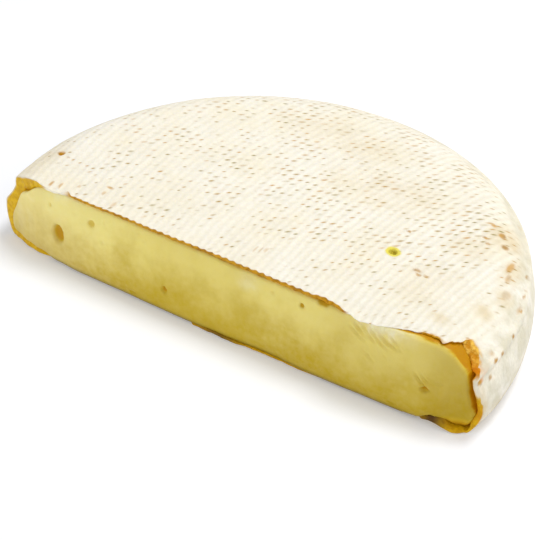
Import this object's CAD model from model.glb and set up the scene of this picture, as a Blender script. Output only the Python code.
# %% [markdown]
# # Half a wheel of soft washed-rind cheese
#
# The object is a flat round cheese, cut across a little past its middle. Its skin, the rind, is a
# thin ochre layer covered by a dry cream-white bloom that still carries the marks of the cloth it
# was pressed in. Inside is a soft pale yellow paste, which has slumped out of the cut.
#
# It is made as two closed meshes: the **rind**, a cup that is open at the cut, and the **paste**,
# which fills the cup. One mesh with two materials would be simpler, but two let the rind keep a
# real thickness, a torn edge, and a real gap where the paste has drawn back from it.

import math

import bpy
import numpy as np
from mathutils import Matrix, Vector
from mathutils.geometry import delaunay_2d_cdt


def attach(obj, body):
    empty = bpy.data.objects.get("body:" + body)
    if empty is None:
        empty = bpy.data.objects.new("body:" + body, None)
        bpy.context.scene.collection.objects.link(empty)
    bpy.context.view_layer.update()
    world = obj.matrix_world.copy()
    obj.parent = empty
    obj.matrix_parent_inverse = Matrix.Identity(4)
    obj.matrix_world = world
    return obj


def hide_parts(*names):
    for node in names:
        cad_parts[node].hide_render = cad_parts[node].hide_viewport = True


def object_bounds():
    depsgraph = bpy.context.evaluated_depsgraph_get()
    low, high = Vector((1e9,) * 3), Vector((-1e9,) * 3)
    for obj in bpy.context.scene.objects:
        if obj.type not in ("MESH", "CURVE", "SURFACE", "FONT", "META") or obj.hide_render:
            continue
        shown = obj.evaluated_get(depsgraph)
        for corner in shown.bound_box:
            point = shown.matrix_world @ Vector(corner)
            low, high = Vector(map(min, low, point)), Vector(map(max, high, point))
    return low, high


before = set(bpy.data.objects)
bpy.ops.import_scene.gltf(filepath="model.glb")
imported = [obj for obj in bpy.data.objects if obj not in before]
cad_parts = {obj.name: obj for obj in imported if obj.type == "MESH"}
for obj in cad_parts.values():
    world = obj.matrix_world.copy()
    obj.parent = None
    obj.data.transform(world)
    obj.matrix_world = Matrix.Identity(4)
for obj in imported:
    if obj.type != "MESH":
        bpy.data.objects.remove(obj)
cad_low, cad_high = [[float(v) for v in corner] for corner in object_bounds()]
print("CAD box in metres:", cad_low, cad_high)

# %% [markdown]
# ## Sizes
#
# The frame gives the box of the whole cheese. Everything else is a named size in millimetres,
# which is how a cheesemaker would measure it. Meshes are built in millimetres too and are scaled
# to metres at the very end, when the mesh is made.

# %% The wheel's sizes
MM = 0.001
wheel_radius = (cad_high[0] - cad_low[0]) / 2 / MM
wheel_height = (cad_high[2] - cad_low[2]) / MM
belly_out = 3.8             # how far the slumped paste stands out of the cut
cut_offset = 12.5           # the cut passes this far beyond the wheel's axis
cut_y = cad_low[1] / MM + belly_out
axis_y = cut_y + cut_offset

girth_height = 6.0          # height of the widest ring
foot_inset = 2.4            # the flat base ends this far inside the widest ring
side_inset, side_drop = 2.1, 7.0    # lower crease: inside the widest ring, below the top
rim_inset, rim_drop = 3.6, 4.9      # upper crease, the same way
rim_round = 1.7             # radius of the rolled rim between the two creases
shoulder_inset = 14.0       # the top starts to fall this far inside the widest ring
dish_depth = 0.4            # the top sinks by this much towards its middle
print(f"wheel {2 * wheel_radius:.1f} mm across, {wheel_height:.1f} high, cut at y {cut_y:.2f}")

# %% [markdown]
# ## Natural unevenness
#
# Nothing on a hand-made cheese is quite regular. A smooth random function of a point in space
# gives the slow swells and the fine grain. It looks up random numbers at the corners of a lattice
# and blends between them, so the same point always gives the same value.

# %% A smooth random function
LATTICE = np.random.default_rng(11).random((32, 32, 32))


def smooth(t):
    """Eases 0..1 in and out, and clips what lies outside."""
    t = np.clip(t, 0.0, 1.0)
    return t * t * (3 - 2 * t)


def swell(points, size, seed=0.0):
    """Smooth random values from -1 to 1 that change over about that many millimetres."""
    q = np.asarray(points, float) / size + seed * 5.37 + 100.0
    cell = np.floor(q).astype(int)
    part = smooth(q - cell)
    total = np.zeros(len(q))
    for corner in np.ndindex(2, 2, 2):
        weight = np.prod(np.where(corner, part, 1 - part), axis=1)
        index = (cell + corner) % 32
        total += weight * LATTICE[index[:, 0], index[:, 1], index[:, 2]]
    return 2 * total - 1


def window(values, middle, reach):
    """1 at the middle, easing to 0 at that reach on both sides."""
    return smooth(1 - np.abs(np.asarray(values, float) - middle) / reach)


# %% [markdown]
# ## The wheel's section
#
# A wheel of cheese is a turned body, so one section describes it. From the top it falls over a
# broad shoulder to a crease, rolls over a narrow rim that the mould has left, and goes down a
# slightly slanted side to the foot.

# %% Arcs for the section
foot_radius = wheel_radius - foot_inset
crease_radius = wheel_radius - rim_inset


def arc(centre, start, end, steps):
    """Points on the arc about a centre from one point to another, both ends included."""
    centre, start, end = (np.array(p, float) for p in (centre, start, end))
    first = math.atan2(*(start - centre)[::-1])
    last = math.atan2(*(end - centre)[::-1])
    turn = np.linspace(first, last, steps + 1)
    radius = np.linspace(np.hypot(*(start - centre)), np.hypot(*(end - centre)), steps + 1)
    return centre + radius[:, None] * np.stack([np.cos(turn), np.sin(turn)], 1)


def tangent_radius(inset, rise):
    """Radius of an arc that leaves a line along it and gains an inset over a rise."""
    return (inset**2 + rise**2) / (2 * inset)


# %% The side's section
def side_section():
    """(radius, height) from the upper crease down to the foot."""
    high = np.array([crease_radius, wheel_height - rim_drop])
    low = np.array([wheel_radius - side_inset, wheel_height - side_drop])
    girth = np.array([wheel_radius, girth_height])
    foot = np.array([foot_radius, 0.0])
    chord = low - high
    inward = np.array([chord[1], -chord[0]]) / np.hypot(*chord)
    rise = math.sqrt(rim_round**2 - (np.hypot(*chord) / 2) ** 2)
    rim_centre = (low + high) / 2 + inward * rise
    upper_centre = girth - [tangent_radius(side_inset, low[1] - girth_height), 0]
    lower_centre = girth - [tangent_radius(foot_inset, girth_height), 0]
    parts = [
        arc(rim_centre, high, low, 9),
        arc(upper_centre, low, girth, 18)[1:],
        arc(lower_centre, girth, foot, 13)[1:],
    ]
    return np.concatenate(parts)


# %% The height of the top
shoulder_radius = tangent_radius(rim_drop, shoulder_inset - rim_inset)


def top_height(x, y):
    """Height of the plain top: dished in the middle, falling over the shoulder."""
    r = np.hypot(x, y - axis_y)
    flat = wheel_radius - shoulder_inset
    dished = wheel_height - dish_depth * (1 - (r / flat) ** 2)
    over = np.clip(r - flat, 0, shoulder_radius * 0.95)
    fallen = wheel_height - shoulder_radius + np.sqrt(shoulder_radius**2 - over**2)
    return np.where(r < flat, dished, fallen)


section = side_section()
print(f"side section: {len(section)} points, from {section[0]} to {section[-1]}")

# %% [markdown]
# ## Where the rind ends at the cut
#
# The knife has not left the rind's edge straight. Along most of the top it is cut clean, with
# small teeth where it crosses the cloth marks. Right of the middle it droops over the paste, then
# it has cracked, and at the right corner it is torn back. At the bottom right it curls forward as
# a lip. A curve could be drawn by hand for it, but short tables are easier to read and to change.
# Their rows give a place along the cut as a share of the wheel's radius, and how far behind the
# plane of the cut the rind's outer skin ends there. Minus is in front of it.

# %% Tables of the rind's edge
R = wheel_radius
TOP_EDGE = [    # place along the cut, how far back, how far down
    (-0.94, 0.2, 0.0), (-0.86, -0.1, 0.1), (-0.80, -0.6, 0.1), (-0.75, -1.2, 0.3),
    (-0.70, -1.3, 0.5), (-0.668, -1.1, 0.4), (-0.655, 0.4, 0.0), (-0.63, -0.5, 0.2),
    (-0.60, -0.5, 0.0), (-0.35, -0.3, 0.0), (0.0, 0.0, 0.0), (0.36, -0.1, 0.0),
    (0.40, 0.5, 0.0), (0.45, 0.1, 0.1), (0.50, -0.8, 0.4), (0.55, -1.6, 0.9),
    (0.60, -1.2, 0.6), (0.66, -0.2, 0.2), (0.72, 1.1, 0.1), (0.76, 1.9, 0.1),
    (0.80, 1.9, 0.0), (0.824, 1.3, 0.0), (0.845, 3.0, 0.0), (0.862, 4.3, 0.0),
    (0.874, 6.4, 0.0), (0.888, 7.0, 0.0), (0.91, 6.2, 0.0), (0.932, 4.9, 0.0),
    (0.94, 3.3, 0.0),
]
LEFT_EDGE = [(0.0, -0.4), (0.12, -0.1), (0.25, 0.0)]
RIGHT_EDGE = [  # height as a share of the wheel's, how far back
    (0.0, -0.3), (0.06, 0.1), (0.15, 1.1), (0.35, 1.2), (0.47, 0.4), (0.60, 0.0), (0.68, 0.5),
    (0.74, 1.6), (0.78, 3.1),
]
BOTTOM_EDGE = [
    (-0.97, -0.2), (-0.92, -1.0), (-0.845, -2.3), (-0.79, -2.8), (-0.73, -2.6), (-0.67, 0.0),
    (-0.12, 0.0), (-0.08, -4.2), (0.10, -4.1), (0.15, -3.4), (0.42, -3.3), (0.48, 0.0),
    (0.76, 0.0), (0.805, -2.5), (0.86, -2.8), (0.90, -2.4), (0.93, -1.6), (0.955, -0.8),
]


# %% Reading a table of places
def along(table, values, column=1):
    """Reads a short table between its rows, easing from one to the next."""
    rows = np.array(table, float)
    place = np.clip(values, rows[0, 0], rows[-1, 0])
    index = np.clip(np.searchsorted(rows[:, 0], place, side="right") - 1, 0, len(rows) - 2)
    span = rows[index + 1, 0] - rows[index, 0]
    share = smooth((place - rows[index, 0]) / span)
    return rows[index, column] * (1 - share) + rows[index + 1, column] * share


def ragged(x, size, seed):
    """Random unevenness along an edge."""
    return swell(np.stack([x, 0 * x, 0 * x], 1), size, seed)


# %% The top edge with its teeth
CLOTH_PITCH = 2.05          # between two ridges of the cloth marks
CLOTH_ROW = 2.70            # between two cross threads


def top_edge_back(x):
    """How far behind the cut the top rind ends, with its teeth and its torn part."""
    place = x / R
    back = along(TOP_EDGE, place)
    clean = smooth((place + 0.66) / 0.06) * smooth((0.5 - place) / 0.06)
    teeth = 0.16 * np.cos(2 * np.pi * x / CLOTH_PITCH) + 0.10 * ragged(x, 0.9, 1)
    torn = smooth((place - 0.70) / 0.08)
    tatter = 0.45 * ragged(x, 1.3, 2) + 0.25 * ragged(x, 0.6, 3)
    return back + clean * teeth + torn * tatter + 0.12 * ragged(x, 7.0, 4)


probe = np.linspace(-0.9, 0.9, 7) * R
print("top edge behind the cut, mm:", top_edge_back(probe).round(2))

# %% [markdown]
# ## Filling an outline with triangles
#
# The top, the base and the cut face are each a flat outline with many points inside. Blender's
# Delaunay function joins such points into well-shaped triangles, whatever the outline, so the same
# helper fills all of them. Each is then lifted into its real shape.

# %% Triangles inside an outline
def inside(points, outline):
    """True for the points inside a closed outline, by counting how often a ray crosses it."""
    x, y = points[:, 0], points[:, 1]
    hit = np.zeros(len(points), bool)
    for (x0, y0), (x1, y1) in zip(outline, np.roll(outline, -1, axis=0)):
        if y0 == y1:
            continue
        crosses = (y0 > y) != (y1 > y)
        hit ^= crosses & (x < x0 + (y - y0) * (x1 - x0) / (y1 - y0))
    return hit


def fill(outline, points):
    """Joins an outline and the points inside it. Returns all points and the triangles."""
    every = np.concatenate([outline, points])
    count = len(outline)
    loop = [(i, (i + 1) % count) for i in range(count)]
    made = delaunay_2d_cdt([Vector(p) for p in every], loop, [], 0, 1e-7)
    flat = np.array([tuple(v) for v in made[0]])
    if len(flat) != len(every):
        raise RuntimeError(f"{len(every) - len(flat)} points fell together")
    triangles = np.array(made[2])
    keep = inside(flat[triangles].mean(axis=1), outline)
    return flat, triangles[keep]


# %% Distances and grids
def nearest(points, others):
    """Distance from each point to the nearest of the others."""
    best = np.full(len(points), np.inf)
    for start in range(0, len(others), 64):
        part = others[start : start + 64]
        gap = np.hypot(*(points[:, None] - part[None]).transpose(2, 0, 1))
        best = np.minimum(best, gap.min(axis=1))
    return best


def grid_inside(outline, spacing, clear):
    """A square grid of points inside an outline, staying clear of it."""
    low, high = outline.min(axis=0), outline.max(axis=0)
    axes = [np.arange(low[i] + spacing / 2, high[i], spacing) for i in (0, 1)]
    points = np.stack(np.meshgrid(*axes), -1).reshape(-1, 2)
    points = points[inside(points, outline)]
    return points[nearest(points, outline) > clear]


# %% [markdown]
# ## The rind's outer skin
#
# The side is a band of rings from one end of the cut round to the other. The top is filled with a
# fine square grid that lies along the cloth marks, because those ridges must show in the shape,
# and the base with a coarse one.

# %% The side band
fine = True
COLUMNS = 430 if fine else 215
TOP_SPACING = 0.4 if fine else 0.8
EDGE_REACH = 7.0            # the edge's droop and curl fade over this distance behind the cut


def side_edge_back(z, right):
    """How far behind the cut the side rind ends, on the right or the left end."""
    share = z / wheel_height
    if right:
        return along(RIGHT_EDGE, share) + 0.22 * ragged(z, 1.2, 5)
    return along(LEFT_EDGE, share) + 0.1 * ragged(z, 3.0, 6)


# %% Bending the side into place
def side_band():
    """Points of the side as rings by columns. Column 0 is the right end of the cut."""
    ring = np.linspace(0, 1, COLUMNS)
    radius, height = section[:, :1], section[:, 1:]
    end_turn = np.arcsin(cut_offset / radius)
    turn = -end_turn + (math.pi + 2 * end_turn) * ring[None]
    bulge = swell(np.stack([np.cos(turn).ravel() * 60, np.sin(turn).ravel() * 60,
                            np.repeat(height.ravel(), COLUMNS)], 1), 9.0, 7).reshape(turn.shape)
    soft = smooth(np.minimum(height, wheel_height - rim_drop - height) / 4.0)
    r = radius + (0.35 * bulge - 0.3) * np.clip(soft, 0, 1)
    from_left = 1 - smooth((math.pi + end_turn - turn) / 0.34)
    r = r - 2.8 * window(height, 16.2, 5.6) * from_left      # the left end's rim is pressed in
    x, y = r * np.cos(turn), axis_y + r * np.sin(turn)
    z = np.repeat(height, COLUMNS, axis=1)
    lifted = top_height(x[0], y[0]) - height[0]              # and its crease rises to the top
    z = z + lifted * smooth(1 - (height[0] - height) / 5.0) * from_left
    fade = 1 - smooth((y - cut_y) / EDGE_REACH)
    right = x > 0
    back = np.where(right, side_edge_back(z[:, 0], True)[:, None],
                    side_edge_back(z[:, 0], False)[:, None])
    front = y < axis_y
    y = y + back * fade * front
    x = np.where(front, np.sign(x) * np.sqrt(np.clip(r**2 - (y - axis_y) ** 2, 0, None)), x)
    return np.stack([x, y, z], -1)


band = side_band()
print("side band:", band.shape[:2], "rings by columns")

# %% [markdown]
# ### The cloth's marks
#
# The curd was pressed in a cloth, and its threads have left ridges that run back from the cut,
# with a weaker set across them. A striped texture could fake them, but it would look flat under
# slanting light, so they are in the mesh. The cloth lay skewed and bent, so a place on the top is
# counted in threads across and along.

# %% Counting threads
def cloth_place(x, y):
    """Across the ridges and along them, counted in threads. The cloth lay skewed and bent."""
    u, v = x / R, (y - cut_y) / R
    across = x + 0.073 * (y - cut_y) + R * (0.043 * u**2 - 0.158 * u * v - 0.200 * v**2)
    along_ridge = y - cut_y - 0.229 * x + R * (-0.059 * u**2 + 0.146 * u * v + 0.182 * v**2)
    wobble = 0.22 * swell(np.stack([x, y, 0 * x], 1), 6.0, 8)
    return (across + wobble) / CLOTH_PITCH, (along_ridge - wobble) / CLOTH_ROW


# %% Relief of the top
DENTS = [   # place in shares of the radius from the wheel's axis, radius and depth in millimetres
    (0.480, 0.147, 1.1, 2.4), (-0.830, 0.000, 1.3, 0.7), (-0.520, 0.120, 1.0, 0.3),
    (-0.600, -0.060, 0.9, 0.3), (-0.330, -0.110, 0.8, 0.3), (0.620, 0.240, 2.5, 0.3),
    (0.880, 0.100, 3.0, 0.4), (0.800, -0.030, 3.5, 0.3),
]


def relief(x, y):
    """Height of the ridges, dents and slow swells of the top rind."""
    flat = np.stack([x, y, 0 * x], 1)
    across, along_ridge = cloth_place(x, y)
    ridge = np.cos(2 * np.pi * across)
    row = np.cos(2 * np.pi * along_ridge)
    strength = 0.65 + 0.35 * swell(flat, 18.0, 9)
    r = np.hypot(x, y - axis_y)
    strength = strength * (1 - 0.5 * smooth((r - 0.84 * R) / (0.1 * R)))
    height = strength * (0.065 * ridge + 0.03 * row + 0.04 * ridge * row)
    height = height + 0.16 * swell(flat, 14.0, 10) + 0.30 * swell(flat, 45.0, 11) - 0.2
    height = height + 0.045 * swell(flat, 1.6, 12)
    for px, py, size, depth in DENTS:
        gap = np.hypot(x - px * R, y - axis_y - py * R)
        height = height - depth * smooth(1 - gap / size)
    return height


# %% The top skin
def pinned(edge_x, edge_y, right_end, left_end, reach):
    """Leads an edge along the cut into the two ends of the side band."""
    on_right = edge_x > 0
    gap = np.where(on_right, right_end[0], -left_end[0]) - np.abs(edge_x)
    share = smooth(gap / reach)
    return edge_y * share + np.where(on_right, right_end[1], left_end[1]) * (1 - share)


def top_skin():
    """Top outline and grid, lifted. Returns points and triangles, edge first, then the ring."""
    right_end, left_end = band[0, 0], band[0, -1]
    edge_x = np.linspace(left_end[0], right_end[0], int(2 * crease_radius / TOP_SPACING * 1.15))
    edge_x = edge_x[1:-1]
    edge_y = pinned(edge_x, cut_y + top_edge_back(edge_x), right_end, left_end,
                    np.where(edge_x > 0, 0.6, 2.0))
    edge = np.stack([edge_x, edge_y], 1)
    outline = np.concatenate([edge, band[0, :, :2]])
    grid = grid_inside(outline, TOP_SPACING, 0.55 * TOP_SPACING)
    flat, triangles = fill(outline, grid)
    x, y = flat.T
    rim = smooth(nearest(flat, band[0, :, :2]) / 3.0)
    droop = along(TOP_EDGE, x / R, 2) * (1 - smooth((y - cut_y - along(TOP_EDGE, x / R)) / 5.0))
    z = top_height(x, y) + relief(x, y) * rim - droop * rim
    return np.column_stack([flat, z]), triangles, len(edge)


top_points, top_triangles, top_edge_count = top_skin()
print(f"top: {len(top_points)} points, {len(top_triangles)} triangles, {top_edge_count} on the cut")

# %% [markdown]
# ### The base
#
# The base lies flat on the table and is hardly seen, so a coarse grid is enough. Where its edge
# reaches out in front of the cut it makes thin lips, and the one at the right foot curls up.

# %% The base
BASE_SPACING = 2.4


def base_skin():
    """Outline and coarse grid of the base, with the curled lip lifted off the table."""
    last = band[-1]
    edge_x = np.linspace(last[0, 0], last[-1, 0], 230)[1:-1]
    back = along(BOTTOM_EDGE, edge_x / R) + 0.15 * ragged(edge_x, 1.5, 13)
    edge = np.stack([edge_x, pinned(edge_x, cut_y + back, last[0], last[-1], 1.8)], 1)
    outline = np.concatenate([last[:, :2], edge[::-1]])
    grid = grid_inside(outline, BASE_SPACING, 0.5 * BASE_SPACING)
    flat, triangles = fill(outline, grid)
    lift = window(flat[:, 0] / R, 0.845, 0.07) * smooth((cut_y + 1.0 - flat[:, 1]) / 3.5)
    z = 1.3 * lift
    z[: len(last)] = band[-1, :, 2]
    return np.column_stack([flat, z]), triangles, len(edge)


base_points, base_triangles, base_edge_count = base_skin()
print(f"base: {len(base_points)} points, {len(base_triangles)} triangles")

# %% [markdown]
# ## The cut edge of the rind and the pocket behind it
#
# Where the three skins end at the cut they form one closed loop. From it the rind's thickness
# goes inwards as a strip with a rough, torn grain, and from there a short pocket goes back into
# the wheel. The paste sits in that pocket. Further in, nobody can see where rind ends and paste
# begins, so nothing is modelled there.

# %% Gathering the loop
rings, columns = band.shape[:2]
points = [band.reshape(-1, 3)]
faces = []


def band_index(ring, column):
    return ring * columns + column


for ring in range(rings - 1):
    here = np.arange(columns - 1) + ring * columns
    faces += np.stack([here, here + 1, here + 1 + columns, here + columns], 1)[:, ::-1].tolist()

top_start = rings * columns
top_map = np.empty(len(top_points), int)
top_map[:top_edge_count] = top_start + np.arange(top_edge_count)
top_map[top_edge_count : top_edge_count + columns] = np.arange(columns)
top_free = np.arange(top_edge_count + columns, len(top_points))
top_map[top_free] = top_start + top_edge_count + np.arange(len(top_free))
points.append(np.concatenate([top_points[:top_edge_count], top_points[top_free]]))
faces += top_map[top_triangles].tolist()

base_start = top_start + top_edge_count + len(top_free)
base_map = np.empty(len(base_points), int)
base_map[:columns] = band_index(rings - 1, np.arange(columns))
base_map[columns:] = base_start + np.arange(len(base_points) - columns)
points.append(base_points[columns:])
faces += base_map[base_triangles][:, ::-1].tolist()

loop = np.concatenate([
    top_map[:top_edge_count],                                       # along the top, left to right
    band_index(np.arange(rings), 0),                                # down the right end
    base_map[columns : columns + base_edge_count][::-1],            # along the base, right to left
    band_index(np.arange(rings), columns - 1)[::-1],                # up the left end
])
print(f"loop round the cut: {len(loop)} points")

# %% [markdown]
# ### How thick the rind is
#
# The skin is a little over a millimetre thick along the top, thicker at the sides, and swollen
# into a wedge at the left end. Where the bloom has sunk onto the paste, right of the middle, it
# thins out to almost nothing. Each stretch of the loop gets its own thickness, and then a little
# random unevenness.

# %% The cut edge's thickness
skin = np.concatenate(points)
rim_line = skin[loop]


def fringe_place(line):
    """1 where the bloom is torn off the skin at the right corner."""
    away = np.linalg.norm((line - [0.915 * R, cut_y + 5.0, 19.0]) * [1.0, 0.8, 1.0], axis=1)
    return smooth((5.4 - away) / 3.6) * smooth((line[:, 0] / R - 0.864) / 0.015)


def sunk_bloom(place):
    """1 on the stretch right of the middle where the bloom has sunk onto the paste."""
    return smooth((place - 0.48) / 0.05) * smooth((0.755 - place) / 0.04)


def edge_thickness(line):
    """Thickness of the rind at each point of the loop round the cut."""
    x, z = line[:, 0] / R, line[:, 2]
    top = smooth((z - 15.5) / 3.0)
    low = smooth((2.2 - z) / 2.0)
    plain = 1.1 + 0.3 * smooth((x + 0.1) / 0.3) - 0.8 * smooth((x - 0.46) / 0.06)
    plain = plain - 0.35 * sunk_bloom(x)
    plain = plain - 0.35 * window(x, -0.685, 0.08)
    wedge = 3.0 * smooth(1 - np.hypot(line[:, 0] + 61.0, z - 20.5) / 8.0)
    foot = 0.4 + 0.95 * smooth((np.abs(x) - 0.70) / 0.06) - 0.8 * smooth((x - 0.86) / 0.03)
    foot = foot + 0.45 * window(x, 0.02, 0.13)
    left = smooth((-0.76 - x) / 0.06)
    foot = foot + 0.7 * left
    side = (1 - low) * (1.5 + left * (0.9 + 1.5 * smooth((z - 8.0) / 5.0))) + low * foot
    thick = top * plain + (1 - top) * side + wedge + 0.9 * fringe_place(line)
    return thick * (1 + 0.12 * swell(line, 1.5, 14))


# %% Which way is inward
def around(values, reach):
    """Averages values over a stretch of the closed loop."""
    total = sum(np.roll(values, step, axis=0) for step in range(-reach, reach + 1))
    return total / (2 * reach + 1)


flat_line = around(rim_line[:, [0, 2]], 3)
tangent = np.roll(flat_line, -1, axis=0) - np.roll(flat_line, 1, axis=0)
tangent /= np.linalg.norm(tangent, axis=1)[:, None]
inward = around(np.stack([tangent[:, 1], -tangent[:, 0]], 1), 6)
inward /= np.linalg.norm(inward, axis=1)[:, None]
thickness = edge_thickness(rim_line)
print(f"rind thickness at the cut: {thickness.min():.2f} to {thickness.max():.2f} mm")

# %% [markdown]
# ### The torn edge and the pocket's wall
#
# A knife drags through the skin, so the cut edge is domed and crumbly and not a flat ribbon. A few
# rings carry it inwards, each with its own share of the thickness and its own depth, and more
# rings go straight back as the wall of the pocket. A Solidify modifier would be shorter, but its
# edge is flat and even.

# %% Rings of the strip and the pocket
STRIP = [(0.12, -0.10), (0.3, -0.16), (0.5, -0.14), (0.72, -0.06), (0.9, 0.06), (1.0, 0.25)]
POCKET_STEPS = [1.0, 2.2, 4.0, 6.5, 9.5, 13.0]
fringe = fringe_place(rim_line)
left_end = smooth((-0.70 - rim_line[:, 0] / R) / 0.06)
settle = rim_line[:, 1] - around(rim_line[:, 1:2], 8)[:, 0]


def strip_ring(share, out):
    """One ring of the rind's cut edge, that share of its thickness in from the outer skin."""
    place = np.column_stack([rim_line[:, 0], rim_line[:, 2], share * 3 + 0 * thickness])
    crumbs = swell(place, 0.9, 15 + share) * (0.14 + 0.35 * fringe) * (1 - 0.8 * left_end)
    ring = rim_line.copy()
    ring[:, [0, 2]] += inward * (thickness * share)[:, None]
    even = share * smooth((-0.60 - rim_line[:, 0] / R) / 0.06)[:, None]
    ring[:, [0, 2]] = ring[:, [0, 2]] * (1 - even) + around(ring[:, [0, 2]], 7) * even
    dome = out * (1 - 0.6 * left_end)
    ring[:, 1] += dome + crumbs * min(share * 3, 1) - settle * share - 1.9 * fringe * share
    return ring


def pocket_ring(depth):
    """One ring of the pocket wall, going straight back."""
    ring = strip_ring(1.0, 0.25)
    ring[:, 1] = np.maximum(ring[:, 1] + depth, cut_y + depth)
    ring[:, 1] = np.where(depth > 8, cut_y + depth, ring[:, 1])
    return ring


# %% Joining rings and closing a back
CAP_SPACING, CAP_CLEAR = 5.0, 2.0           # of the coarse grid that closes the back of a piece


def between(previous, here):
    """The faces between two closed rings of points."""
    return np.stack([previous, here, np.roll(here, -1), np.roll(previous, -1)], 1)


def back_wall(outline, y, ring, first):
    """A flat wall across the last ring: its own points, numbered from the first, and its faces."""
    grid = grid_inside(outline, CAP_SPACING, CAP_CLEAR)
    _, triangles = fill(outline, grid)
    numbers = np.concatenate([ring, first + np.arange(len(grid))])
    return np.column_stack([grid[:, 0], np.full(len(grid), y), grid[:, 1]]), numbers[triangles]


# %% The rind's points and faces
start = len(skin)
count = len(loop)
ring_points = [strip_ring(*row) for row in STRIP] + [pocket_ring(step) for step in POCKET_STEPS]
previous = loop
for number in range(len(ring_points)):
    here = start + number * count + np.arange(count)
    faces += between(previous, here).tolist()
    previous = here

wall = ring_points[-1]
cap_points, cap_faces = back_wall(
    wall[:, [0, 2]], wall[0, 1], previous, start + len(ring_points) * count)
faces += cap_faces.tolist()
rind_points = np.concatenate([skin, *ring_points, cap_points])
print(f"rind: {len(rind_points)} points, {len(faces)} faces")

# %% [markdown]
# ### From points to an object
#
# Blender takes points and faces as plain lists. What belongs to places on the surface, such as a
# stain, is stored at the points as a named attribute, which the material reads as a mask. Painting
# a texture instead would need an unwrapped surface first.

# %% Making a mesh object
def make_piece(name, points, faces, masks):
    """A smooth-shaded object in metres, with named masks stored at its points."""
    mesh = bpy.data.meshes.new(name)
    mesh.from_pydata((np.asarray(points) * MM).tolist(), [], faces)
    mesh.validate()
    for mask, values in masks.items():
        layer = mesh.attributes.new(mask, "FLOAT", "POINT")
        layer.data.foreach_set("value", np.asarray(values, np.float32))
    mesh.shade_smooth()
    mesh.update()
    piece = bpy.data.objects.new(name, mesh)
    bpy.context.scene.collection.objects.link(piece)
    return piece


# %% [markdown]
# ## Where the rind is stained
#
# These masks belong to places and not to a pattern: `stain` for single brown spots, `beige` for
# the wide clouds where the bloom has been handled or has dried thin, and `yellow` round the small
# hole that a pin has left. A spot is a place on the surface, half its size along x and y, and a
# strength. Random placing would be quicker, but this cheese has its stains where it has them.

# %% Spots and clouds on the top and the side
STAINS = [      # x and y in shares of the radius from the axis, height, half sizes, strength
    (-0.831, 0.002, 21.1, 1.3, 1.0, 1.0), (-0.790, -0.010, 21.4, 0.7, 0.5, 0.5),
    (-0.543, -0.076, 21.5, 1.2, 0.5, 0.6), (-0.540, -0.114, 21.5, 0.5, 0.9, 0.5),
    (-0.640, -0.130, 21.5, 0.5, 0.9, 0.4), (-0.470, -0.150, 21.5, 0.5, 1.4, 0.4),
    (-0.735, -0.168, 21.5, 0.5, 1.1, 0.7), (-0.700, -0.160, 21.5, 0.4, 1.1, 0.6),
    (0.085, -0.085, 21.2, 0.3, 1.3, 0.4), (0.100, -0.078, 21.2, 0.3, 1.4, 0.4),
    (0.116, -0.070, 21.2, 0.3, 1.1, 0.4), (0.594, 0.102, 21.8, 1.3, 0.7, 0.7),
    (0.608, 0.086, 21.6, 0.9, 0.4, 0.7), (0.634, 0.090, 21.6, 1.0, 0.4, 0.5),
    (0.474, 0.272, 21.8, 0.7, 0.5, 0.8), (0.701, 0.459, 21.8, 0.9, 0.6, 0.8),
    (0.708, 0.376, 22.1, 0.7, 0.5, 0.8), (0.730, 0.351, 22.1, 0.8, 0.5, 0.7),
    (0.751, 0.429, 21.4, 1.2, 1.2, 0.8), (0.781, 0.379, 21.1, 1.1, 1.1, 0.8),
    (0.838, 0.305, 20.4, 0.8, 2.6, 0.7), (0.855, 0.250, 20.3, 0.6, 1.6, 0.5),
    (0.884, 0.174, 19.8, 1.0, 2.0, 0.3), (0.884, 0.343, 17.1, 0.3, 1.0, 0.7),
    (0.918, 0.244, 17.1, 0.3, 1.1, 0.6), (0.940, 0.174, 17.0, 0.3, 0.7, 0.8),
    (0.965, 0.062, 16.2, 0.4, 0.7, 0.9), (0.969, -0.024, 15.8, 0.4, 0.9, 0.8),
    (0.966, -0.067, 16.1, 0.5, 0.8, 0.9), (0.971, -0.112, 13.8, 0.4, 0.8, 0.7),
    (0.958, -0.162, 14.6, 0.6, 0.9, 0.8),
]
CLOUDS = [
    (0.762, 0.420, 21.1, 5.0, 7.0, 0.85), (0.850, 0.290, 20.2, 3.0, 8.0, 0.75),
    (0.760, -0.070, 21.7, 3.6, 2.4, 0.60), (0.861, 0.042, 20.6, 3.0, 3.0, 0.70),
    (0.884, 0.160, 19.8, 2.6, 4.0, 0.60), (0.700, 0.300, 21.9, 9.0, 6.0, 0.30),
    (0.640, 0.100, 21.9, 9.0, 5.0, 0.25), (0.300, 0.450, 21.9, 22.0, 10.0, 0.30),
    (0.000, 0.650, 21.9, 26.0, 10.0, 0.30), (-0.880, -0.050, 19.5, 6.0, 12.0, 0.45),
    (0.970, -0.180, 12.0, 4.0, 2.4, 1.00), (0.990, -0.170, 7.5, 4.0, 2.8, 1.00),
    (0.660, 0.000, 21.9, 8.0, 5.0, 0.30),
]
PIN_HOLE = [(0.480, 0.147, 21.4, 2.0, 1.9, 1.0)]     # where the paste shows round a pin's hole


# %% Marking the spots
def spots(points, table, softness):
    """The strongest of a table's spots at each point."""
    found = np.zeros(len(points))
    for px, py, pz, wide, deep, strength in table:
        away = (points - [px * R, axis_y + py * R, pz]) / [wide, deep, 0.5 * (wide + deep)]
        gap = np.linalg.norm(away, axis=1)
        gap = gap + 0.18 * swell(points, 0.5 * (wide + deep), 23)
        found = np.maximum(found, strength * smooth((1.2 - gap) / softness))
    return found


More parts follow.
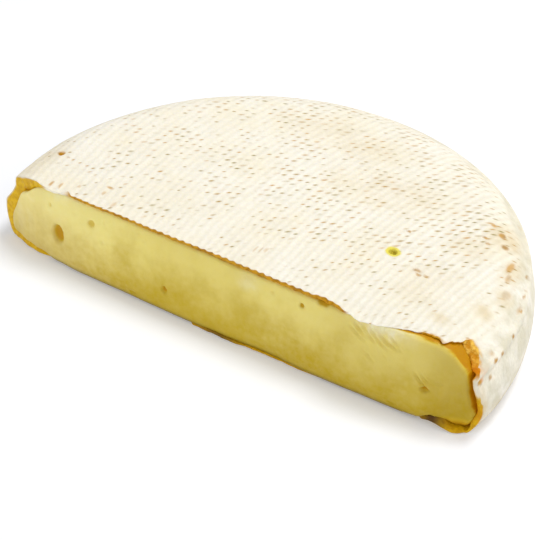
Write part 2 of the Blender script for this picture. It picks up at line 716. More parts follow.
# %% Specks along the creases
rind_x, rind_y, rind_z = rind_points.T
radius_at = np.hypot(rind_x, rind_y - axis_y)
turn_at = np.arctan2(rind_y - axis_y, rind_x)
dashes = swell(np.column_stack([turn_at * 40, rind_z * 1.2, 0 * turn_at]), 0.9, 24)
crease = window(radius_at, crease_radius, 1.1) * window(rind_z, 17.0, 1.6)
lower_crease = 0.5 * window(rind_z, wheel_height - side_drop, 1.0) * (radius_at > 66)
right_front = smooth((0.9 - turn_at) / 0.7) * (turn_at > -0.4)
stain = spots(rind_points, STAINS, 0.7)
stain = np.maximum(stain, np.maximum(crease, lower_crease) * smooth((dashes - 0.35) / 0.3)
                   * (0.10 + 0.30 * right_front))
yellow = spots(rind_points, PIN_HOLE, 0.9)
beige = spots(rind_points, CLOUDS, 1.0)

# %% [markdown]
# ## Where the bloom is gone
#
# `bare` is 1 where the ochre skin shows: on the whole cut edge, in the torn fringe at the right
# corner, along the crack beside it, and in small spots on the side below. On two stretches of the
# top edge the bloom has sunk over the cut and hides the skin. `dark` marks the skin's underside,
# where a lip curls up.

# %% Bare skin near the cut
TOP_ABOVE = 16              # above this height the cut edge belongs to the top
bare = np.zeros(len(rind_points))
bare[start:] = 1.0
place, behind, height = skin[:, 0] / R, skin[:, 1] - cut_y, skin[:, 2]
fringe_skin = fringe_place(skin) * smooth(1.2 - (behind - 4.0) / 3.0)
edge_gap = behind - along(TOP_EDGE, place)
crack_skin = window(place, 0.79, 0.075) * (height > TOP_ABOVE)
near = np.maximum(0.9 * fringe_skin * smooth(1 - edge_gap / 1.4),
                  crack_skin * smooth(1 - edge_gap / 0.9))
bare[:start] = near * smooth(0.6 + swell(skin, 1.1, 20))
foot_spots = smooth((swell(skin, 2.2, 25) - 0.35) / 0.2) * window(place, 0.93, 0.08)
foot_spots = 0.8 * foot_spots * window(height, 14.5, 3.0) * smooth(1 - behind / 9.0)
bare[:start] = np.maximum(bare[:start], foot_spots)
print(f"bare skin near the cut: {(bare[:start] > 0.5).sum()} points")

# %% Bloom that hides the cut edge
place, height = rim_line[:, 0] / R, rim_line[:, 2]
top_bloom = np.maximum(window(place, -0.70, 0.075), sunk_bloom(place)) * (height > TOP_ABOVE)
side_bloom = window(height, 13.5, 3.5) * (place > 0.8)
for number, (share, _) in enumerate(STRIP):
    here = slice(start + number * count, start + (number + 1) * count)
    covered = np.maximum(top_bloom, side_bloom * smooth((0.95 - share) / 0.3))
    bare[here] = 1 - smooth(covered * 1.6)

# %% The dark underside, and the rind as an object
lip_dark = window(rind_x / R, 0.835, 0.075) * (rind_z < 4.0)
middle_dark = 0.8 * window(rind_x / R, 0.03, 0.14) * (rind_z < 3.0)
dark = np.maximum(lip_dark, middle_dark) * (rind_y < cut_y + 0.6)
across, along_ridge = cloth_place(rind_x, rind_y)
rind = make_piece("rind", rind_points, faces,
                  {"bare": bare, "stain": stain, "beige": beige, "dark": dark, "yellow": yellow,
                   "thread_across": across, "thread_along": along_ridge})
print("rind box:", rind_points.min(axis=0).round(2), rind_points.max(axis=0).round(2))

# %% [markdown]
# ## The paste
#
# The paste fills the pocket and slumps out of it, furthest near the table. Its face is an outline
# filled with a fine grid and pushed forward or back: the belly, rounded edges where it has drawn
# back from the rind, and the gas eyes that the knife has opened.

# %% The paste's outline
paste_line = around(ring_points[len(STRIP) - 1][:, [0, 2]], 4)
apart = np.hypot(*np.diff(paste_line, axis=0).T)
paste_line = paste_line[np.r_[True, apart > 0.05]]
print(f"paste outline: {len(paste_line)} points")

# %% How far the belly stands out
BELLY_HEIGHT = 5.0          # from here up the belly falls back towards the top
PASTE_FOOT = [      # place along the cut, how far the paste's foot stands out of it
    (-0.98, -0.2), (-0.92, 1.0), (-0.845, 2.4), (-0.79, 3.0), (-0.70, 3.6), (-0.60, 4.1),
    (-0.10, 4.1), (0.03, 3.9), (0.20, 3.4), (0.36, 3.7), (0.60, 3.4), (0.78, 3.0), (0.84, 2.1),
    (0.885, 0.8), (0.93, -0.3), (0.97, -0.8),
]
RIGHT_FACE = [      # height and place along the cut where the paste has drawn back from the rind
    (0.00, 1.02), (0.05, 0.98), (0.08, 0.948), (0.10, 0.936), (0.164, 0.923), (0.223, 0.913),
    (0.237, 0.908), (0.261, 0.896), (0.270, 0.882), (0.279, 0.864), (0.290, 0.846),
    (0.303, 0.828), (0.315, 0.808), (0.33, 0.780),
]


def belly(x, z):
    """How far the paste stands out in front of the cut."""
    out = along(PASTE_FOOT, x / R)
    above = np.clip(z - BELLY_HEIGHT, 0, None) / (wheel_height - 1.2 - BELLY_HEIGHT)
    below = np.clip(1.6 - z, 0, None) / 1.6
    fuller = 0.3 * window(z, 4.0, 4.0)
    return out + fuller - (np.clip(out, 0, None) + 0.25) * above**2 - 0.55 * below**2


# %% [markdown]
# ### Eyes and scratches
#
# Gas has left small eyes in the paste, and the knife has opened them and drawn fine lines. Each is
# a row in a table, and the face is pushed in there. Cutting them out with a Boolean modifier would
# also work, but it leaves long thin triangles round every eye.

# %% Tables of eyes and scratches
EYES = [    # place along the cut and height in shares of the radius, half sizes, depth
    (-0.682, 0.136, 2.1, 2.9, 1.6), (-0.535, 0.230, 1.4, 1.1, 0.55), (-0.721, 0.241, 0.6, 0.8, 0.4),
    (-0.551, 0.166, 1.1, 0.8, 0.2), (-0.479, 0.184, 0.8, 0.6, 0.25), (-0.481, 0.254, 0.7, 0.5, 0.2),
    (-0.609, 0.244, 0.7, 0.5, 0.15), (-0.198, 0.104, 0.9, 1.1, 1.0), (-0.337, 0.029, 1.2, 0.5, 0.6),
    (-0.302, 0.249, 0.6, 0.5, 0.2), (-0.330, 0.262, 0.7, 0.4, 0.2), (-0.422, 0.190, 0.6, 0.5, 0.2),
    (0.335, 0.250, 0.8, 0.7, 0.8), (0.406, 0.283, 1.9, 1.0, 0.8), (0.223, 0.254, 0.7, 0.5, 0.3),
    (0.285, 0.156, 0.5, 0.4, 0.2), (0.331, 0.124, 0.6, 0.4, 0.15), (0.596, 0.184, 0.5, 0.5, 0.2),
    (0.652, 0.201, 0.6, 0.4, 0.2), (0.799, 0.136, 1.1, 0.8, 1.3), (0.840, 0.171, 1.0, 0.3, 0.3),
    (0.695, 0.030, 0.9, 0.5, 0.4),
]
SCRATCHES = [   # drawn by the knife: from place and height to place and height, depth
    (0.503, 0.257, 0.591, 0.221, 0.25), (0.610, 0.280, 0.701, 0.239, 0.30),
    (0.600, 0.262, 0.672, 0.225, 0.20), (0.535, 0.268, 0.600, 0.240, 0.18),
    (0.754, 0.190, 0.808, 0.143, 0.28), (0.770, 0.196, 0.815, 0.156, 0.20),
    (0.560, 0.200, 0.630, 0.160, 0.12), (0.660, 0.262, 0.715, 0.235, 0.18),
    (0.520, 0.278, 0.583, 0.232, 0.25), (0.550, 0.280, 0.628, 0.232, 0.25),
    (0.575, 0.286, 0.655, 0.240, 0.22), (0.655, 0.284, 0.717, 0.240, 0.22),
]


# %% How deep they go
def foot_reach(x):
    """1 where the slumped paste reaches down to the table, 0 where it rests on the rind."""
    return smooth((x / R + 0.76) / 0.08) * smooth((0.83 - x / R) / 0.05)


def eye_hollow(x, z):
    """How deep the opened eyes go, and how brown they are inside."""
    depth, tint = 0 * x, 0 * x
    for place, height, half_wide, half_high, deep in EYES:
        away = np.hypot((x - place * R) / half_wide, (z - height * R) / half_high)
        bowl = np.sqrt(np.clip(1 - away**2, 0, 1)) * smooth((1.15 - away) / 0.3)
        depth = depth + deep * bowl
        tint = np.maximum(tint, 0.75 * smooth((1.1 - away) / 0.5) * min(deep / 0.9, 1))
    return depth, tint


def scratch_depth(x, z):
    """How deep the knife's fine scratches go."""
    depth = 0 * x
    for x0, z0, x1, z1, deep in SCRATCHES:
        along_x, along_z = (x1 - x0) * R, (z1 - z0) * R
        length = math.hypot(along_x, along_z)
        share = ((x - x0 * R) * along_x + (z - z0 * R) * along_z) / length**2
        aside = np.abs((x - x0 * R) * along_z - (z - z0 * R) * along_x) / length
        here = smooth((0.5 - np.abs(share - 0.5)) / 0.3)
        furrow = window(aside, 0.0, 0.55) - 0.5 * window(aside, 0.75, 0.5)
        depth = depth + 1.4 * deep * here * furrow
    return depth


# %% [markdown]
# ### The face as a whole
#
# At the right corner the paste has drawn back from the rind and left a hollow. All that shapes the
# face is added up at each point: the belly, the rounded border, the hollow, the eyes, a slow
# ripple, and the stretches where the paste stands fuller against the rind.

# %% The hollow at the right corner
def drawn_back(x, z):
    """How far the paste has drawn back from the rind at the right corner."""
    levels = np.linspace(0.0, 0.33, 120)
    line = np.stack([along(RIGHT_FACE, levels) * R, levels * R], 1)
    gap = nearest(np.stack([x, z], 1), line) * np.sign(x - along(RIGHT_FACE, z / R) * R)
    return np.clip(2.4 * (np.sqrt(np.clip(gap, 0, None) ** 2 + 0.09) - 0.3), 0, 5.0)


# %% The face
PASTE_SPACING = 0.36 if fine else 0.7


def paste_face():
    """The face's points and triangles, and a mask of how hollow each place is."""
    grid = grid_inside(paste_line, PASTE_SPACING, 0.5 * PASTE_SPACING)
    flat, triangles = fill(paste_line, grid)
    x, z = flat.T
    place = x / R
    reach = foot_reach(x)
    z = np.where(z < 4, z - reach * (1 - smooth(z / 4)) * (z - 0.15), z)
    spot = np.stack([x, 0 * x, z], 1)
    border = paste_line[(paste_line[:, 1] > 3.0) | (np.abs(paste_line[:, 0]) > 0.74 * R)]
    gap = nearest(flat, border)
    blended = smooth((place - 0.50) / 0.06) * smooth((0.75 - place) / 0.05)
    blended = np.maximum(blended, window(place, -0.685, 0.07)) * (z > 12)
    soft = (1 - 0.9 * blended) * (0.7 - 0.6 * smooth((-0.75 - place) / 0.05))
    round_edge = soft * (1 - np.sqrt(1 - (1 - np.clip(gap / 0.8, 0, 1)) ** 2))
    drawn = drawn_back(x, z)
    hollow, tint = eye_hollow(x, z)
    hollow = hollow + scratch_depth(x, z)
    hollow = hollow + 0.35 * window(np.hypot((place - 0.126) / 0.036, (z - 19.2) / 1.5), 0, 1)
    upper = smooth((z - 10) / 6) * window(place, -0.35, 0.45)
    ripple = 0.16 * swell(spot * [1, 1, 0.6], 2.4, 21) * upper + 0.12 * swell(spot, 9.0, 22)
    full = 1.3 * window(place, 0.645, 0.16) * smooth((z - 13) / 6)
    full = full + 1.2 * window(place, -0.70, 0.09) * smooth((z - 14) / 6)
    full = full + 0.4 * smooth((-0.74 - place) / 0.06) * smooth((z - 8) / 6)
    full = full + 0.9 * window(place, -0.81, 0.06) * smooth((z - 15) / 3)
    y = cut_y - belly(x, z) + round_edge + drawn + hollow - ripple - full
    mask = np.clip(drawn / 0.9 + 0.6 * round_edge, 0, 1)
    crack = window(place, 0.785, 0.055) * smooth(1 - gap / 0.45) * (z > 15)
    ledge = 0.8 * smooth((5.0 - z) / 4.0) * smooth((place - 0.82) / 0.06)
    mask = np.maximum(mask, np.maximum(crack, ledge))
    return np.column_stack([x, y, z]), triangles, np.maximum(mask, tint)


face_points, face_triangles, hollow = paste_face()
print(f"paste face: {len(face_points)} points, {len(face_triangles)} triangles")

# %% [markdown]
# ### The body behind the face
#
# Rings go back from the face's border and a coarse grid closes them, so the paste is a closed
# mesh that fills the pocket in the rind.

# %% The paste's body
BODY_STEPS = [0.4, 4.0, 8.0, 12.0]          # how far behind the cut each ring lies
edge_count = len(paste_line)
border_points = face_points[:edge_count]
face_points[:, 2] = np.maximum(face_points[:, 2], 0.05)
paste_points = [face_points]
paste_faces = face_triangles.tolist()
previous = np.arange(edge_count)
for number, depth in enumerate(BODY_STEPS):
    ring = border_points.copy()
    ring[:, [0, 2]] = paste_line
    ring[:, 1] = np.maximum(ring[:, 1] + 0.5, cut_y + depth)
    here = len(face_points) + number * edge_count + np.arange(edge_count)
    paste_faces += between(previous, here)[:, [0, 3, 2, 1]].tolist()
    paste_points.append(ring)
    previous = here
back_points, back_faces = back_wall(
    paste_line, cut_y + BODY_STEPS[-1], previous, sum(map(len, paste_points)))
paste_points = np.concatenate([*paste_points, back_points])
paste_faces += back_faces[:, ::-1].tolist()

# %% The paste's masks, and the paste as an object
hollow_mask = np.ones(len(paste_points))
hollow_mask[: len(hollow)] = hollow
place, height = paste_points[:, 0] / R, paste_points[:, 2]
veil = np.maximum(window(place, 0.62, 0.16), 0.4 * window(place, -0.66, 0.12))
frayed = 1.2 * swell(paste_points * [1, 0, 0.3], 1.4, 26)
veil = veil * smooth((height - 17.4 + frayed) / 3.6)
dimple = np.hypot((place - 0.126) / 0.06, (height - 17.8) / 2.4)
veil = np.maximum(veil, 0.35 * window(dimple, 0.0, 1.2))
scratched = window(place, 0.64, 0.17) * smooth((height - 5.0) / 6.0)
paste = make_piece("paste", paste_points, paste_faces,
                   {"hollow": hollow_mask, "veil": veil, "scratched": scratched})
print("paste box:", paste_points.min(axis=0).round(2), paste_points.max(axis=0).round(2))

# %% [markdown]
# ## Materials
#
# Both materials start from a plain Principled shader. What varies over the surface comes from
# small node groups: one makes slow two-tone mottling, one lays out the pits that the cloth's
# weave has left in the bloom. A group is built once and takes its own numbers in each material.
#
# Joining nodes one by one is slow to read. So a small class, `Wire`, holds a node's output and
# lets plain arithmetic such as `patches * 0.5 + 0.35` add the Math nodes.

# %% Adding nodes
def node(tree, kind, **settings):
    """Adds a node and sets its properties, or its inputs where the name is an input's."""
    made = tree.nodes.new(kind)
    for name, value in settings.items():
        if hasattr(made, name):
            setattr(made, name, value)
        else:
            feed(value, made.inputs[name.replace("_", " ")])
    return made


def feed(value, socket):
    """Gives an input a wire, a number, a vector or a colour."""
    if isinstance(value, Wire):
        value.into(socket)
    elif isinstance(value, tuple) and len(socket.default_value) == 4:
        socket.default_value = (*value, 1.0)
    else:
        socket.default_value = value


def maths(operation, *values):
    """A Math node whose inputs are numbers or wires."""
    tree = next(value.tree for value in values if isinstance(value, Wire))
    made = tree.nodes.new("ShaderNodeMath")
    made.operation = operation
    for value, socket in zip(values, made.inputs):
        feed(value, socket)
    return Wire(made.outputs[0])


# %% Wires that can be counted with
class Wire:
    """A node's output. Each sign of arithmetic adds one Math node behind it."""

    def __init__(self, socket):
        self.socket, self.tree = socket, socket.id_data

    def into(self, socket):
        self.tree.links.new(self.socket, socket)

    def clipped(self):
        """Limits the result of a Math node to 0..1."""
        self.socket.node.use_clamp = True
        return self

    def __add__(self, other):
        return maths("ADD", self, other)

    def __sub__(self, other):
        return maths("SUBTRACT", self, other)

    def __rsub__(self, other):
        return maths("SUBTRACT", other, self)

    def __mul__(self, other):
        return maths("MULTIPLY", self, other)

    def __truediv__(self, other):
        return maths("DIVIDE", self, other)

    def __rtruediv__(self, other):
        return maths("DIVIDE", other, self)


# %% Mixing, easing and noise
def blend(share, first, second):
    """Mixes two colours. Each is a wire or a plain colour."""
    made = node(share.tree, "ShaderNodeMix", data_type="RGBA")
    for value, number in ((share, 0), (first, 6), (second, 7)):
        feed(value, made.inputs[number])
    return Wire(made.outputs[2])


def ramp(value, low, high):
    """Eases a value to 0 below low and to 1 above high."""
    made = node(value.tree, "ShaderNodeMapRange", interpolation_type="SMOOTHSTEP",
                Value=value, From_Min=low, From_Max=high)
    return Wire(made.outputs["Result"])


def noise(place, scale, detail=3.0, roughness=0.5):
    """Blender's noise texture at a place in millimetres."""
    made = node(place.tree, "ShaderNodeTexNoise", Vector=place, Scale=scale, Detail=detail,
                Roughness=roughness)
    return Wire(made.outputs["Fac"])


def stretched(place, scale, turn=(0.0, 0.0, 0.0)):
    """The same place, turned and then squeezed along each direction."""
    made = node(place.tree, "ShaderNodeMapping", Vector=place, Rotation=turn, Scale=scale)
    return Wire(made.outputs[0])


def paint(red, green, blue):
    """A colour as seen on screen, 0 to 255, turned into the linear values that shaders use."""
    values = np.array([red, green, blue]) / 255
    linear = np.where(values <= 0.04045, values / 12.92, ((values + 0.055) / 1.055) ** 2.4)
    return tuple(float(v) for v in linear)


# %% [markdown]
# ### Mottling
#
# Neither bloom nor paste has one even tone. A noise texture could be linked straight into a
# colour mix, but every use needs its own size and contrast, so the noise sits in a group with
# those two as inputs.

# %% The mottling group
def new_group(name, inputs, outputs):
    """An empty shader node group. An input without a number is a place."""
    tree = bpy.data.node_groups.new(name, "ShaderNodeTree")
    for label, value in inputs.items():
        kind = "NodeSocketVector" if value is None else "NodeSocketFloat"
        socket = tree.interface.new_socket(name=label, in_out="INPUT", socket_type=kind)
        if value is not None:
            socket.default_value = value
    for label in outputs:
        tree.interface.new_socket(name=label, in_out="OUTPUT", socket_type="NodeSocketFloat")
    entry = tree.nodes.new("NodeGroupInput")
    given = {label: Wire(entry.outputs[label]) for label in inputs}
    return tree, given, tree.nodes.new("NodeGroupOutput").inputs


mottle_group, given, results = new_group(
    "mottling", {"Place": None, "Size": 10.0, "Contrast": 0.5}, ["Mask"])
cloud = noise(given["Place"], 1.0 / given["Size"], 4.0, 0.55)
((cloud - 0.5) * given["Contrast"] * 4.0 + 0.5).clipped().into(results["Mask"])


def mottle(place, size, contrast):
    """The mottling group, placed in a material with its own numbers."""
    made = node(place.tree, "ShaderNodeGroup", node_tree=mottle_group, Place=place, Size=size,
                Contrast=contrast)
    return Wire(made.outputs["Mask"])


print(f"group {mottle_group.name}: {len(mottle_group.nodes)} nodes")

# %% [markdown]
# ### Cloth pits
#
# Where two threads of the pressing cloth crossed, they left a small pit, and the ochre skin shows
# at its bottom. The mesh stores how many threads across and along each point lies, so the pits
# sit between the ridges of the shape. Each cell of that grid gets a random number, which says
# whether its pit is open and how dark it is.

# %% The pit group
pit_group, given, results = new_group(
    "cloth_pits", {"Threads": None, "Openness": 0.4, "Size": 0.3},
    ["Stain", "Hollow", "Ridge", "Tone"])
across_cells, along_cells, _ = (
    Wire(s) for s in node(pit_group, "ShaderNodeSeparateXYZ", Vector=given["Threads"]).outputs)
cell = node(pit_group, "ShaderNodeCombineXYZ",
            X=maths("FLOOR", across_cells), Y=maths("FLOOR", along_cells))
chance = node(pit_group, "ShaderNodeTexWhiteNoise", noise_dimensions="2D",
              Vector=Wire(cell.outputs[0]))
size_draw, across_draw, along_draw = (
    Wire(s) for s in node(pit_group, "ShaderNodeSeparateColor",
                          Color=Wire(chance.outputs["Color"])).outputs)

# %% A pit's outline and depth
gap_across = maths("FRACT", across_cells) - (across_draw * 0.30 + 0.35)
gap_along = maths("FRACT", along_cells) - (along_draw * 0.40 + 0.30)
slant = gap_across * -0.55 + gap_along                      # the pits lie slanted
long_way, short_way = (slant * 0.35 + gap_across) * 0.90, slant * 1.45
distance = maths("SQRT", long_way * long_way + short_way * short_way)
bowl = 1.0 - ramp(distance / (given["Size"] * (size_draw + 0.60)), 0.0, 1.0)
strength = ramp(given["Openness"] - Wire(chance.outputs["Value"]), -0.12, 0.58)
(bowl * strength).into(results["Stain"])
(bowl * (strength + 0.25)).into(results["Hollow"])
maths("COSINE", across_cells * (2 * math.pi)).into(results["Ridge"])
across_draw.into(results["Tone"])
print(f"group {pit_group.name}: {len(pit_group.nodes)} nodes")

# %% [markdown]
# ### What both materials share
#
# Each material needs the same start: a Principled shader joined to the output, and the place on
# the cheese in millimetres. Object coordinates keep the pattern still when the cheese is moved,
# which generated coordinates would not do for a cut shape.

# %% A base for both materials
def new_material(name):
    """A material, its shader, the place in millimetres, and its parts: right, back and up."""
    material = bpy.data.materials.new(name)
    material.use_nodes = True
    tree = material.node_tree
    tree.nodes.clear()
    shader = tree.nodes.new("ShaderNodeBsdfPrincipled")
    Wire(shader.outputs[0]).into(tree.nodes.new("ShaderNodeOutputMaterial").inputs["Surface"])
    in_metres = Wire(tree.nodes.new("ShaderNodeTexCoord").outputs["Object"])
    place = Wire(node(tree, "ShaderNodeVectorMath", operation="SCALE", Vector=in_metres,
                      Scale=1 / MM).outputs[0])
    parts = [Wire(s) for s in node(tree, "ShaderNodeSeparateXYZ", Vector=place).outputs]
    return material, shader, place, parts


def stored(tree, name):
    """A mask stored at the mesh's points."""
    return Wire(node(tree, "ShaderNodeAttribute", attribute_name=name).outputs["Fac"])


def set_surface(shader, specular, bleed, bleed_colour, bleed_depth):
    """The numbers that are the same all over a surface. The depth is in millimetres."""
    shader.inputs["Specular IOR Level"].default_value = specular
    shader.inputs["Subsurface Weight"].default_value = bleed
    shader.inputs["Subsurface Radius"].default_value = bleed_colour
    shader.inputs["Subsurface Scale"].default_value = bleed_depth * MM


def add_bump(shader, height, strength):
    """Turns a height into the fine unevenness of a surface."""
    made = node(height.tree, "ShaderNodeBump", Strength=strength, Distance=0.4 * MM, Height=height)
    Wire(made.outputs[0]).into(shader.inputs["Normal"])


# %% [markdown]
# ### The rind's bloom
#
# The bloom is a dry, matt, cream-white felt. It is a little greyer and greener on the side, warmer
# at the foot, and has beige clouds towards the right where it has been handled. The colours are
# laid over each other from the widest to the finest, as a painter would glaze them.

# %% The bloom's colours
rind_material, shader, place, (rightward_mm, back_mm, up_mm) = new_material("rind_bloom")
tree = rind_material.node_tree
clouds, patches, fleck = mottle(place, 16.0, 1.0), mottle(place, 5.0, 0.9), mottle(place, 0.9, 0.9)
on_top = ramp(up_mm, wheel_height - 3.6, wheel_height - 2.0)
on_side = 1.0 - on_top
low_down = 1.0 - ramp(up_mm, 0.5, 8.0)
haze = (stored(tree, "beige") * (patches * 0.7 + 0.5)).clipped()

bloom = blend(clouds, paint(254, 249, 236), paint(251, 243, 222))
bloom = blend(patches * 0.5, bloom, paint(243, 239, 226))
bloom = blend(fleck * 0.25, bloom, paint(224, 215, 188))
bloom = blend(patches * on_side * 0.85, bloom, paint(222, 215, 190))
bloom = blend(low_down * (patches * 0.5 + 0.35), bloom, paint(214, 190, 140))
bloom = blend(haze * 0.8, bloom, paint(224, 203, 158))
print(f"material {rind_material.name}: {len(tree.nodes)} nodes so far")

# %% [markdown]
# ### Pits and stains on the bloom
#
# The pits are open in clusters: more of them towards the back and the right, fewer near the left
# end and along the right part of the cut, where the bloom has closed over. Between the ridges the
# bloom is thinner and a touch darker. Single stains and the pin's hole come last, on top.

# %% Pits, valleys and stains
threads = node(tree, "ShaderNodeCombineXYZ", X=stored(tree, "thread_across"),
               Y=stored(tree, "thread_along"))
cluster = mottle(place, 10.0, 1.3)
rightward = ramp(rightward_mm, -40.0, 55.0)
behind = ramp(back_mm - rightward_mm * 0.15, cut_y + 2.0, cut_y + 24.0)
far_left = 1.0 - ramp(rightward_mm, -56.0, -22.0)
openness = behind * 0.20 + 0.46 + rightward * (behind * 0.26 - 0.16)
openness = openness + (cluster * 0.62 - 0.31) - far_left * 0.22
pits = node(tree, "ShaderNodeGroup", node_tree=pit_group, Threads=Wire(threads.outputs[0]),
            Openness=openness, Size=0.37)
stain_in_pit, hollow_pit, ridge, pit_tone = (Wire(s) for s in pits.outputs)

valley = (ridge * -0.5 + 0.5) * on_top
bloom = blend(valley * (rightward * 0.10 + 0.07), bloom, paint(206, 194, 156))
pit_colour = blend(pit_tone, paint(146, 126, 30), paint(208, 148, 40))
bloom = blend((stain_in_pit * on_top * 0.95).clipped(), bloom, pit_colour)
spot_colour = blend(mottle(place, 4.0, 1.4), paint(168, 118, 10), paint(206, 148, 34))
bloom = blend(stored(tree, "stain"), bloom, spot_colour)
yellow_share = stored(tree, "yellow")
bloom = blend(ramp(yellow_share, 0.0, 0.5), bloom, paint(236, 222, 96))
bloom = blend(ramp(yellow_share, 0.65, 1.15), bloom, paint(164, 142, 22))
print(f"material {rind_material.name}: {len(tree.nodes)} nodes so far")

# %% [markdown]
# ### The bare skin
#
# Where the mask `bare` is 1 the bloom is gone, and the skin below is a moist, granular ochre. It
# is orange in the torn fringe at the right corner, deep orange in the fold below it, paler gold at
# the left end, brown along the top edge where it has dried, and nearly black under the lips.

# %% The skin's colours
crumb = mottle(place, 1.3, 1.1)
bare_share = stored(tree, "bare")
high_up = ramp(up_mm, 15.5, 18.5)
at_right = ramp(rightward_mm, 54.0, 60.0)
at_left = 1.0 - ramp(rightward_mm, -56.0, -48.0)
along_top = high_up * (1.0 - at_right) * ramp(rightward_mm, -50.0, -44.0)
in_fold = at_right * ramp(back_mm, cut_y + 0.5, cut_y + 2.5) * (1.0 - high_up)

ochre = blend(crumb, paint(202, 152, 0), paint(224, 178, 14))
ochre = blend(high_up * at_right, ochre, blend(crumb, paint(208, 140, 14), paint(246, 196, 80)))
ochre = blend(at_left, ochre, blend(crumb, paint(214, 166, 6), paint(234, 192, 28)))
ochre = blend(along_top, ochre, blend(crumb, paint(176, 122, 4), paint(214, 158, 24)))
ochre = blend(in_fold, ochre, paint(232, 128, 0))
ochre = blend(stored(tree, "dark"), ochre, paint(84, 54, 4))
blend(bare_share, bloom, ochre).into(shader.inputs["Base Color"])
(bare_share * -0.42 + 0.88).into(shader.inputs["Roughness"])

# %% [markdown]
# ### The rind's fine unevenness
#
# The felt of the bloom, the wrinkles of the side and the crumbs of the torn skin are too small
# for the mesh, so they are a bump. The ridges are in the mesh already, and the bump only sharpens
# them.

# %% The rind's surface
set_surface(shader, 0.16, 0.10, (1.0, 0.85, 0.5), 0.8)
felt = noise(place, 2.2, 5.0, 0.65)
wrinkle = noise(stretched(place, (1.0, 1.0, 0.25)), 0.8, 3.0, 0.6)
torn_crumb = crumb * (bare_share * (high_up * at_right))
height = hollow_pit * on_top * -0.4 + felt * 0.45 + wrinkle * on_side * 1.6
height = height + ridge * 0.12 + torn_crumb * 1.6
add_bump(shader, height, 0.6)
rind.data.materials.append(rind_material)
print(f"material {rind_material.name}: {len(tree.nodes)} nodes")

# %% [markdown]
# ### The paste
#
# The paste is moist, dense and slightly translucent, so light bleeds through its thin edges. It is
# paler near the top, where it has dried, and deeper yellow towards the table and the right end. In
# the gap behind the rind and inside the eyes it turns orange-brown.

# %% The paste's colours
paste_material, shader, place, (rightward_mm, _, up_mm) = new_material("paste_soft")
tree = paste_material.node_tree
blotch, fine_blotch = mottle(place, 9.0, 0.9), mottle(place, 1.6, 0.8)
level = ramp(up_mm + (blotch * 6.0 - 3.0), 0.0, 20.0)
leftward = ramp(rightward_mm * -1.0, 20.0, 60.0)
middle = ramp(rightward_mm, -34.0, -12.0) * (1.0 - ramp(rightward_mm, 4.0, 20.0))
veil_share = (stored(tree, "veil") * (fine_blotch * 0.5 + 0.7)).clipped()
hollow_share = stored(tree, "hollow")
hollow_colour = blend(ramp(hollow_share, 0.35, 1.0), paint(212, 182, 48), paint(196, 138, 2))
foot_shade = 1.0 - ramp(up_mm, 0.0, 2.2)

body = blend(level, paint(196, 166, 10), paint(250, 234, 138))
body = blend(fine_blotch * 0.14, body, paint(252, 242, 176))
body = blend(ramp(rightward_mm, -10.0, 66.0) * 0.45, body, paint(184, 154, 24))
body = blend(leftward * 0.32, body, paint(252, 235, 176))
body = blend(middle * (level * -0.30 + 0.58), body, paint(202, 174, 44))
body = blend(ramp(rightward_mm, 52.0, 62.0) * 0.35, body, paint(176, 146, 30))
body = blend(veil_share, body, paint(248, 240, 200))
body = blend(ramp(hollow_share, 0.12, 0.65), body, hollow_colour)
body = blend(foot_shade * 0.75, body, paint(122, 98, 6))
body.into(shader.inputs["Base Color"])
(blotch * 0.16 + 0.30).into(shader.inputs["Roughness"])

# %% [markdown]
# ### The paste's fine unevenness
#
# The knife has smeared the soft paste, and its drag shows as fine slanted lines at the right. A
# noise that is stretched along the cut's direction gives such lines, and the mask `scratched`
# keeps them where the knife has left them.

# %% The paste's surface
set_surface(shader, 0.13, 0.25, (1.0, 0.8, 0.25), 1.2)
smear = noise(place, 0.55, 4.0, 0.6)
pores = noise(place, 3.0, 3.0)
drag = noise(stretched(place, (1.6, 0.2, 0.10), (0.0, math.radians(-24), 0.0)), 0.9, 3.0, 0.7)
add_bump(shader, pores * 0.25 + smear + drag * stored(tree, "scratched") * 2.6, 0.35)
paste.data.materials.append(paste_material)
print(f"material {paste_material.name}: {len(tree.nodes)} nodes")

# %% [markdown]
# ## What stands for what
#
# Both pieces lie on the one body and together stand for the solid cheese of the frame, which is
# then hidden. The slots say which finish of the record each of them takes.

# %% Telling the frame
for piece, slot_name in ((rind, "rind"), (paste, "paste")):
    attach(piece, "root")
    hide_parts("cheese")
    print(f"{piece.name}: {len(piece.data.vertices)} points, slot {slot_name}")

# %% [markdown]
# ## Table, lamps and camera
#
# The cheese stands on a white table under soft light: a lamp above and a little behind, which
# lights the top, a large one from the right, and a weaker one in front for the cut face. The table
# and the world add a little light of their own for what sees them directly, so they look white
# and the table still shows the soft shadow. More light on the cheese would bleach it instead.

# %% Light that only shows
def show_apart(tree, lighting, shown, output_kind):
    """Shows one shader to the camera and in reflections, while the other lights the scene."""
    rays = tree.nodes.new("ShaderNodeLightPath")
    camera_ray, glossy_ray, through_ray = (
        Wire(rays.outputs[f"Is {kind} Ray"]) for kind in ("Camera", "Glossy", "Transmission"))
    pick = tree.nodes.new("ShaderNodeMixShader")
    maths("MAXIMUM", camera_ray, maths("MAXIMUM", glossy_ray, through_ray)).into(pick.inputs[0])
    Wire(lighting.outputs[0]).into(pick.inputs[1])
    Wire(shown.outputs[0]).into(pick.inputs[2])
    Wire(pick.outputs[0]).into(tree.nodes.new(output_kind).inputs["Surface"])


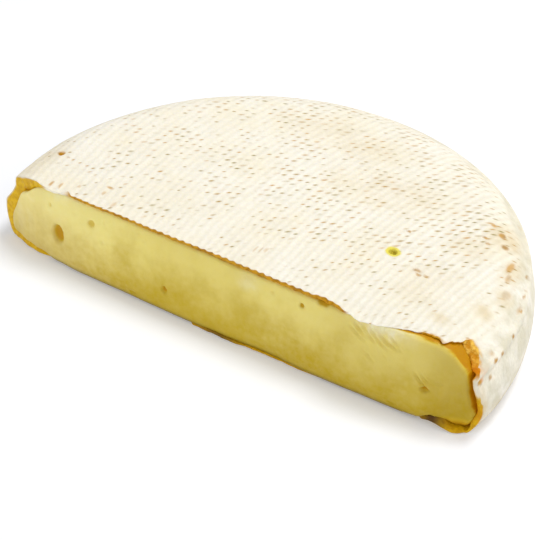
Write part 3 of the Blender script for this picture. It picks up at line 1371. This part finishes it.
# %% The table
WHITE = (1.0, 1.0, 1.0)
TABLE_SIZE, TABLE_GAP = 6.0, 0.0002         # metres; the gap keeps it clear of the flat base
bpy.ops.mesh.primitive_plane_add(size=TABLE_SIZE, location=(0, 0, -TABLE_GAP))
table = bpy.context.object
table.name = "table"
table_material = bpy.data.materials.new("white_table")
table_material.use_nodes = True
tree = table_material.node_tree
tree.nodes.clear()
matt = node(tree, "ShaderNodeBsdfDiffuse", Color=(0.857, 0.868, 0.905))
lift = node(tree, "ShaderNodeEmission", Color=WHITE, Strength=0.16)
both = tree.nodes.new("ShaderNodeAddShader")
Wire(matt.outputs[0]).into(both.inputs[0])
Wire(lift.outputs[0]).into(both.inputs[1])
show_apart(tree, matt, both, "ShaderNodeOutputMaterial")
table.data.materials.append(table_material)

# %% The world's light
world = bpy.data.worlds.new("studio")
bpy.context.scene.world = world
world.use_nodes = True
tree = world.node_tree
tree.nodes.clear()
around_light = node(tree, "ShaderNodeBackground", Color=WHITE, Strength=0.48)
behind_light = node(tree, "ShaderNodeBackground", Color=WHITE, Strength=1.0)
show_apart(tree, around_light, behind_light, "ShaderNodeOutputWorld")

# %% Lamps
LAMPS = [       # name, place and size in metres, power in watts
    ("key", (0.12, 0.24, 0.74), 0.25, 2.75),
    ("right", (0.64, 0.10, 0.48), 0.5, 1.45),
    ("front", (-0.22, -0.90, 0.30), 0.6, 2.1),
]
for name, lamp_place, size, power in LAMPS:
    lamp = bpy.data.lights.new(name, "AREA")
    lamp.size = size
    lamp.energy = power
    holder = bpy.data.objects.new(name, lamp)
    holder.location = lamp_place
    holder.rotation_euler = (-Vector(lamp_place)).to_track_quat("-Z", "Y").to_euler()
    bpy.context.scene.collection.objects.link(holder)
print("lamps:", [row[0] for row in LAMPS])

# %% [markdown]
# ## Camera
#
# A long lens keeps the wheel's outline calm. The camera stands to the right of the cut and looks
# down at about forty degrees, so the top, the cut face and the right end all show.

# %% The camera
AZIMUTH, ELEVATION = 0.574, 0.686           # radians, from straight in front of the cut
DISTANCE = 4.597 * R * MM
LENS, SENSOR = 83.6, 36.0                   # millimetres
look_at = Vector((-0.017 * R, axis_y + 0.161 * R, 0.0)) * MM
towards_camera = Vector((
    math.sin(AZIMUTH) * math.cos(ELEVATION), -math.cos(AZIMUTH) * math.cos(ELEVATION),
    math.sin(ELEVATION)))
camera_data = bpy.data.cameras.new("camera")
camera_data.sensor_width = SENSOR
camera_data.lens = LENS
camera_data.clip_start = 0.01
camera = bpy.data.objects.new("camera", camera_data)
camera.location = look_at + towards_camera * DISTANCE
camera.rotation_euler = (-towards_camera).to_track_quat("-Z", "Y").to_euler()
bpy.context.scene.collection.objects.link(camera)
bpy.context.scene.camera = camera
bpy.context.scene.view_settings.view_transform = "Standard"
print("camera at", [round(v, 4) for v in camera.location])
